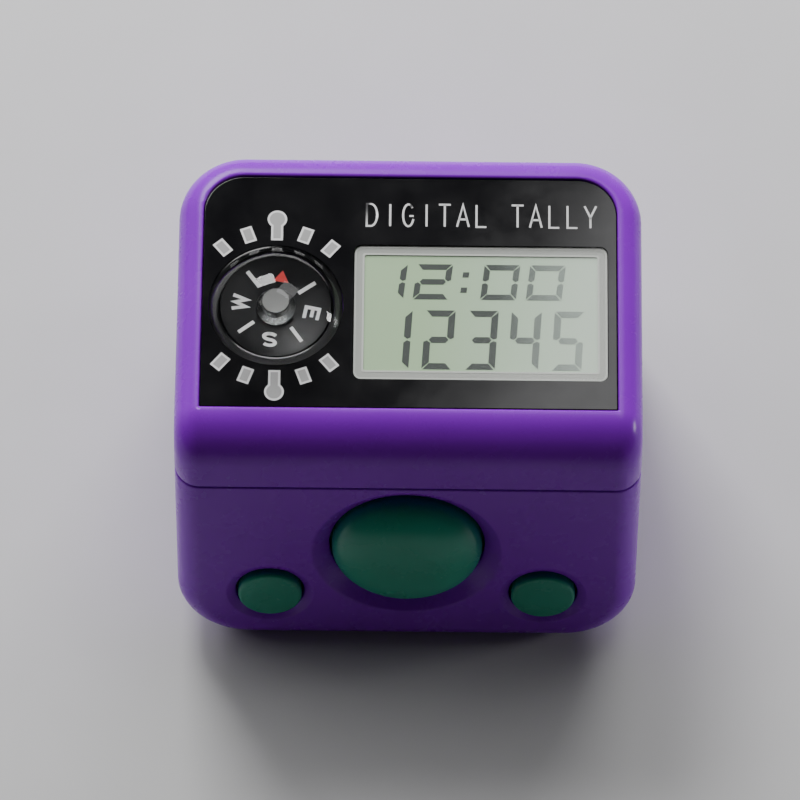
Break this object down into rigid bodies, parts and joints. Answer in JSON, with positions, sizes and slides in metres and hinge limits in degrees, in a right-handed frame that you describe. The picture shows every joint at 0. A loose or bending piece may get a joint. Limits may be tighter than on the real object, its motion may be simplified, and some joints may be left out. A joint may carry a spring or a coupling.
{
  "type": "hand tally counter",
  "caption": "Wedge-shaped hand tally counter with a liquid-crystal display and bubble compass on top, and a large domed count button between small round buttons on its leaning front.",
  "frame": {"origin": "centre of the bounding box's bottom face, on the underside the counter rests on", "axes": "+Z out of the display face, +X to the reader's right, -Y towards the push buttons"},
  "size_m": [0.038, 0.0322, 0.0289],
  "materials": {
    "purple_plastic": "satin moulded ABS",
    "green_plastic": "satin moulded ABS",
    "black_gloss": "polished acrylic, printed",
    "black_plastic": "matt moulded",
    "clear_plastic": "polished clear acrylic",
    "lcd_glass": "polished",
    "foil": "satin",
    "tape": "matt",
    "white_plastic": "matt moulded",
    "elastomer": "matt",
    "circuit_board": "solder mask",
    "epoxy": "glossy resin",
    "steel": "satin",
    "brass": "satin",
    "silicone": "matt",
    "carbon": "matt",
    "ribbon": "polyimide film",
    "red_wire": "PVC insulation",
    "black_wire": "PVC insulation"
  },
  "bodies": {
    "case": {"upper_case": "purple_plastic", "lower_case": "purple_plastic", "face_panel": "black_gloss", "panel_tape": "tape", "display_window": "clear_plastic", "lcd_front_glass": "lcd_glass", "lcd_rear_glass": "lcd_glass", "lcd_reflector": "foil", "lcd_holder": "white_plastic", "zebra_strip_front": "elastomer", "zebra_strip_rear": "elastomer", "main_board": "circuit_board", "chip_blob": "epoxy", "crystal_can": "steel", "board_capacitor_1": "brass", "board_capacitor_2": "brass", "button_board": "circuit_board", "ribbon_cable": "ribbon", "button_cell": "steel", "contact_positive": "brass", "contact_negative": "brass", "battery_wire_red": "red_wire", "battery_wire_black": "black_wire", "case_screw_left": "steel", "board_screw_left": "steel", "case_screw_right": "steel", "board_screw_right": "steel", "rubber_dome_main": "silicone", "rubber_dome_left": "silicone", "rubber_dome_right": "silicone", "compass_cup": "black_plastic", "compass_dome": "clear_plastic", "compass_pivot": "steel"},
    "main_button": {"main_button_cap": "green_plastic", "contact_pill_main": "carbon"},
    "left_button": {"left_button_cap": "green_plastic", "contact_pill_left": "carbon"},
    "right_button": {"right_button_cap": "green_plastic", "contact_pill_right": "carbon"},
    "compass_card": {"compass_dial": "black_plastic", "compass_magnet": "steel", "compass_hub": "clear_plastic"},
    "battery_door": {"battery_door": "purple_plastic"}
  },
  "joints": [
    {"name": "main_button_press", "type": "slide", "parent": "case", "child": "main_button", "axis": [0, 0.9763, -0.2164], "range_m": [0, 0.001], "stiffness_N_per_m": 1500, "deforming": ["rubber_dome_main"]},
    {"name": "left_button_press", "type": "slide", "parent": "case", "child": "left_button", "axis": [0, 0.9763, -0.2164], "range_m": [0, 0.0008], "stiffness_N_per_m": 1200, "deforming": ["rubber_dome_left"]},
    {"name": "right_button_press", "type": "slide", "parent": "case", "child": "right_button", "axis": [0, 0.9763, -0.2164], "range_m": [0, 0.0008], "stiffness_N_per_m": 1200, "deforming": ["rubber_dome_right"]},
    {"name": "compass_card_turn", "type": "hinge", "parent": "case", "child": "compass_card", "pos_m": [-0.0109, 0.0018, 0.0248], "axis": [0, 0, 1], "continuous": true},
    {"name": "battery_door_turn", "type": "hinge", "parent": "case", "child": "battery_door", "pos_m": [0, 0.002, 0.001], "axis": [0, 0, 1], "range_deg": [0, 45]}
  ]
}
